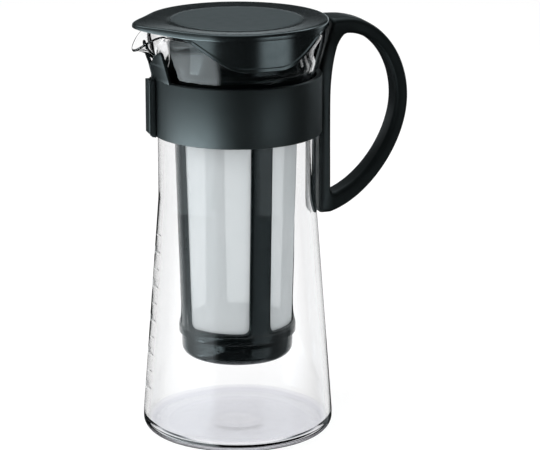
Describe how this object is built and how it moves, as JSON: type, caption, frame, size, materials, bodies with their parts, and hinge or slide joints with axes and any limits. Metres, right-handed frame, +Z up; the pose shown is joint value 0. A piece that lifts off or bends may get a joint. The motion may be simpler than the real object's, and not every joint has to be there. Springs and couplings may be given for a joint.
{
  "type": "cold brew coffee maker",
  "caption": "Tapered glass carafe with a banded neck and loop handle, a lift-out mesh filter basket with a push-on foot cap, and a loose lid over the spout, for cold brewing.",
  "frame": {"origin": "on the table, at the centre of the foot under the carafe", "axes": "+Z up along the carafe's centre line, the spout points to -X and the handle to +X"},
  "size_m": [0.1378, 0.0934, 0.2048],
  "materials": {
    "glass": "clear, polished, slightly wavy",
    "plastic": "dark grey to black, satin moulded",
    "filter_plastic": "black, smooth moulded",
    "filter_mesh": "fine woven polyester mesh, translucent"
  },
  "bodies": {
    "carafe": {"carafe_glass": "glass", "handle_band": "plastic"},
    "clasp": {"band_clasp": "plastic"},
    "filter": {"filter_frame": "filter_plastic", "filter_mesh_1": "filter_mesh", "filter_mesh_2": "filter_mesh", "filter_mesh_3": "filter_mesh", "filter_mesh_4": "filter_mesh"},
    "cap": {"filter_cap": "filter_plastic"},
    "lid": {"lid": "plastic"}
  },
  "joints": [
    {"name": "filter_lift", "type": "slide", "parent": "carafe", "child": "filter", "axis": [0, 0, 1], "range_m": [0, 0.17]},
    {"name": "lid_lift", "type": "slide", "parent": "filter", "child": "lid", "axis": [0, 0, 1], "range_m": [0, 0.045]},
    {"name": "cap_release", "type": "slide", "parent": "filter", "child": "cap", "axis": [0, 0, -1], "range_m": [0, 0.014]},
    {"name": "clasp_slide", "type": "slide", "parent": "carafe", "child": "clasp", "axis": [0, 0, -1], "range_m": [0, 0.03]}
  ]
}
